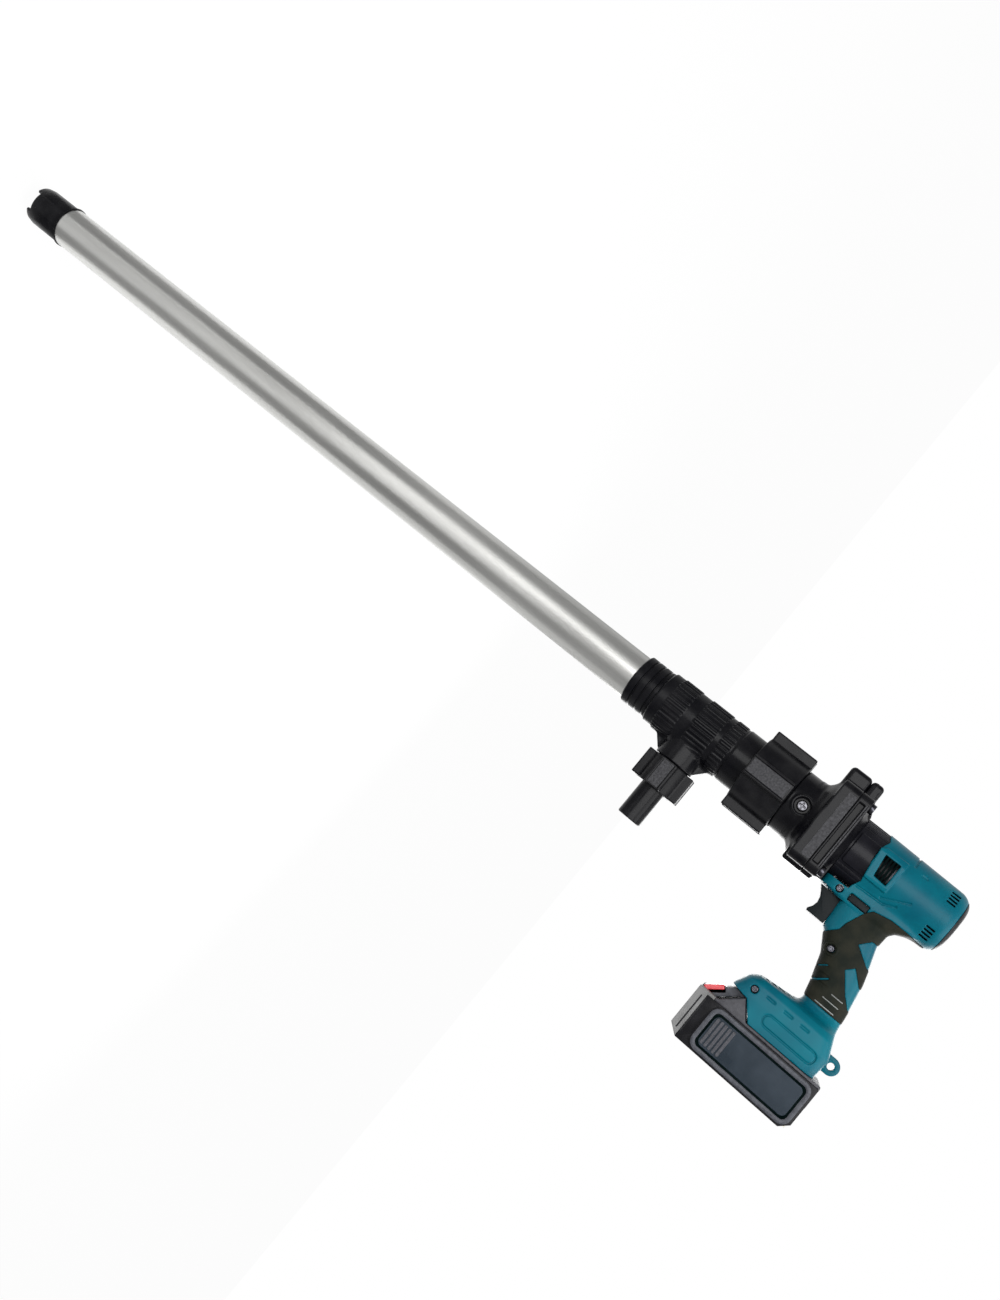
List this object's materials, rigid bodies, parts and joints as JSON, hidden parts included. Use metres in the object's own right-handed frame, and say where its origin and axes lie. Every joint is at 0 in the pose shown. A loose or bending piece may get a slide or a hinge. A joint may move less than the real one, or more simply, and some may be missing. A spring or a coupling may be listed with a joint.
{
  "type": "handheld battery transfer pump",
  "caption": "Drill-style battery pump with a long aluminium suction tube, side outlet with hose tail, union nut, motor handle and slide-off battery pack.",
  "frame": {"origin": "centre of the suction mouth, in the plane of the intake cap's three feet", "axes": "+Z along the suction tube towards the motor, +X towards the outlet, the handle and the battery, -Y the left side that the housing screws enter"},
  "size_m": [0.2534, 0.079, 1.0965],
  "materials": {
    "tube_aluminium": "satin drawn tube with faint lengthwise streaks",
    "pump_black": "moulded glass-filled plastic, low sheen",
    "nut_black": "moulded plastic with pebbled grip lugs",
    "natural_plastic": "natural bearing plastic",
    "seal_rubber": "smooth black rubber",
    "shaft_steel": "ground steel",
    "bright_screw": "bright zinc plated",
    "coupling_alloy": "turned alloy",
    "spider_red": "elastic coupling star",
    "case_black": "smooth black moulding",
    "shell_teal": "fine-grained moulded shell",
    "grip_rubber": "soft-touch overmould",
    "trigger_grey": "satin charcoal",
    "fan_green": "moulded fan",
    "motor_steel": "pressed motor steel",
    "winding_copper": "enamelled copper",
    "brush_carbon": "carbon",
    "board_green": "circuit board",
    "contact_brass": "spring contact",
    "pack_charcoal": "grained pack housing",
    "pack_grey": "light grey front panel",
    "panel_slate": "smooth dark side panel",
    "cell_wrap": null,
    "button_red": "glossy moulded button"
  },
  "bodies": {
    "pump_frame": {"intake_cap": "pump_black", "lower_bush": "natural_plastic", "outer_tube": "tube_aluminium", "shaft_guides": "natural_plastic", "tube_collar": "pump_black", "tube_seal": "seal_rubber", "pump_head": "pump_black", "shaft_seal": "seal_rubber", "head_bearing": "shaft_steel", "outlet_gasket": "seal_rubber", "hose_tail": "pump_black", "head_gasket": "seal_rubber", "bell_housing": "pump_black", "bell_screws": "bright_screw", "clamp_flange": "pump_black", "flange_bolts": "bright_screw", "gear_case": "case_black", "front_bearing": "shaft_steel", "motor_can": "motor_steel", "motor_magnets": "motor_steel", "brush_plate": "natural_plastic", "brushes": "brush_carbon", "rear_bearing": "shaft_steel", "housing_left": "shell_teal", "housing_right": "shell_teal", "rear_bumper": "grip_rubber", "grip_rubber_left": "grip_rubber", "grip_rubber_right": "grip_rubber", "vent_grilles": "case_black", "housing_screws": "bright_screw", "trigger_spring": "shaft_steel", "switch_box": "case_black", "lanyard_loop": "shell_teal", "control_board": "board_green", "battery_dock": "case_black", "dock_blades": "contact_brass"},
    "rotor": {"impeller": "natural_plastic", "drive_shaft": "shaft_steel", "shaft_coupling": "coupling_alloy", "coupling_spider": "spider_red", "motor_coupling": "coupling_alloy", "motor_shaft": "shaft_steel", "cooling_fan": "fan_green", "armature_core": "motor_steel", "armature_windings": "winding_copper", "commutator": "winding_copper"},
    "union_ring": {"union_nut": "nut_black"},
    "outlet_ring": {"outlet_nut": "nut_black"},
    "trigger": {"trigger": "trigger_grey"},
    "selector": {"selector": "trigger_grey"},
    "battery": {"battery_cover": "pack_charcoal", "battery_front": "pack_grey", "battery_tray": "pack_charcoal", "battery_side_left": "panel_slate", "battery_side_right": "panel_slate", "battery_cells": "cell_wrap", "cell_holders": "natural_plastic", "battery_contacts": "contact_brass", "latch_spring": "shaft_steel"},
    "release_button": {"release_button": "button_red"}
  },
  "joints": [
    {"name": "pump_drive", "type": "hinge", "parent": "pump_frame", "child": "rotor", "pos_m": [0, 0, 0.5], "axis": [0, 0, 1], "continuous": true},
    {"name": "union_nut_turn", "type": "hinge", "parent": "pump_frame", "child": "union_ring", "pos_m": [0, 0, 0.917], "axis": [0, 0, 1], "continuous": true},
    {"name": "outlet_nut_turn", "type": "hinge", "parent": "pump_frame", "child": "outlet_ring", "pos_m": [0.05, 0, 0.847], "axis": [1, 0, 0], "continuous": true},
    {"name": "trigger_pull", "type": "slide", "parent": "pump_frame", "child": "trigger", "axis": [0, 0, 1], "range_m": [0, 0.006], "stiffness_N_per_m": 1200, "springref_m": -0.002, "deforming": ["trigger_spring"]},
    {"name": "selector_slide", "type": "slide", "parent": "pump_frame", "child": "selector", "axis": [0, 1, 0], "range_m": [-0.003, 0.003]},
    {"name": "battery_slide", "type": "slide", "parent": "pump_frame", "child": "battery", "axis": [0, 0, -1], "range_m": [0, 0.09]},
    {"name": "release_press", "type": "slide", "parent": "battery", "child": "release_button", "axis": [1, 0, 0], "range_m": [0, 0.0025], "stiffness_N_per_m": 1500, "springref_m": -0.001, "deforming": ["latch_spring"]}
  ]
}
